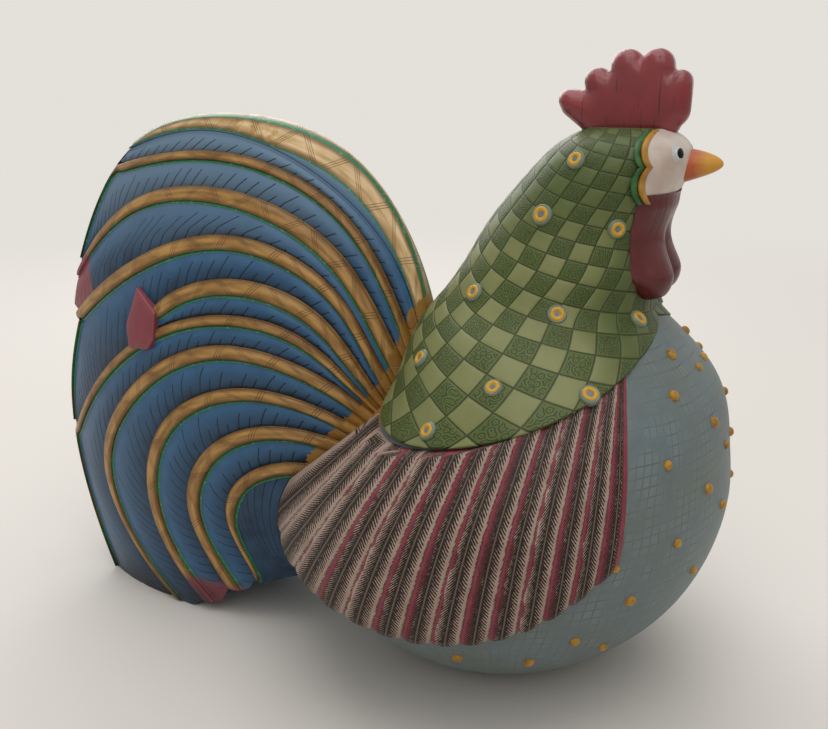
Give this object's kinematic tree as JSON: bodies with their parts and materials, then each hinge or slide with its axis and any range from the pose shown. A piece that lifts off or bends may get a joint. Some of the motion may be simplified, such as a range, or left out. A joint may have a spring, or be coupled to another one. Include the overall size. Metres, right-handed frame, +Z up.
{
  "type": "rooster figurine",
  "caption": "Plump standing rooster ornament in painted cast resin, with a patchwork cape, folded striped wings and a tall tail of curved feathers that rests on the table.",
  "frame": {"origin": "on the table, under the centre of the round foot", "axes": "+X forwards to the beak, +Y to the bird's left side, +Z up"},
  "size_m": [0.2251, 0.1434, 0.1795],
  "materials": {
    "felt": "pressed wool felt, matt",
    "stopper": "moulded rubber, matt",
    "belly": "cast resin, brushed blue-grey paint with a crackle of dark lines, satin varnish",
    "bead": "cast resin bead, yellow paint, satin varnish",
    "cape": "cast resin, olive patchwork paint with dark stitched lines, satin varnish",
    "button": "cast resin button, blue-grey rim and centre with a golden ring, satin varnish",
    "face": "cast resin, off-white paint with a warm wash, satin varnish",
    "trim_green": "cast resin welt, green paint, satin varnish",
    "trim_orange": "cast resin welt, orange paint, satin varnish",
    "comb": "cast resin, dark red paint over fine carved lines, satin varnish",
    "beak": "cast resin, yellow paint shaded red at the base, satin varnish",
    "eye": "black paint, gloss varnish",
    "wing": "cast resin, brown, beige and crimson striped feathers, satin varnish",
    "tail": "cast resin, blue feather paint with gold and green borders, satin varnish",
    "tail_band": "cast resin, gold-ochre paint with a brown wash, satin varnish",
    "tail_core": "unpainted cast resin"
  },
  "bodies": {
    "root": {"felt_pad": "felt", "base_plug": "stopper", "body_shell": "belly", "breast_beads": "bead", "neck_cape": "cape", "cape_buttons_right": "button", "cape_buttons_left": "button", "face": "face", "trim_green": "trim_green", "trim_orange": "trim_orange", "comb": "comb", "beak": "beak", "eye_right": "eye", "eye_left": "eye", "wattle_right": "comb", "wattle_left": "comb", "wing_right": "wing", "wing_left": "wing", "tail_core": "tail_core", "tail_ridge": "tail_band", "tail_right_01": "tail", "tail_left_01": "tail", "tail_right_02": "tail", "tail_left_02": "tail", "tail_right_03": "tail", "tail_left_03": "tail", "tail_right_04": "tail", "tail_left_04": "tail", "tail_right_05": "tail", "tail_left_05": "tail", "tail_right_06": "tail", "tail_left_06": "tail", "tail_right_07": "tail", "tail_left_07": "tail", "tail_right_08": "tail", "tail_left_08": "tail", "tail_right_09": "tail", "tail_left_09": "tail", "tail_right_10": "tail", "tail_left_10": "tail"}
  },
  "joints": []
}
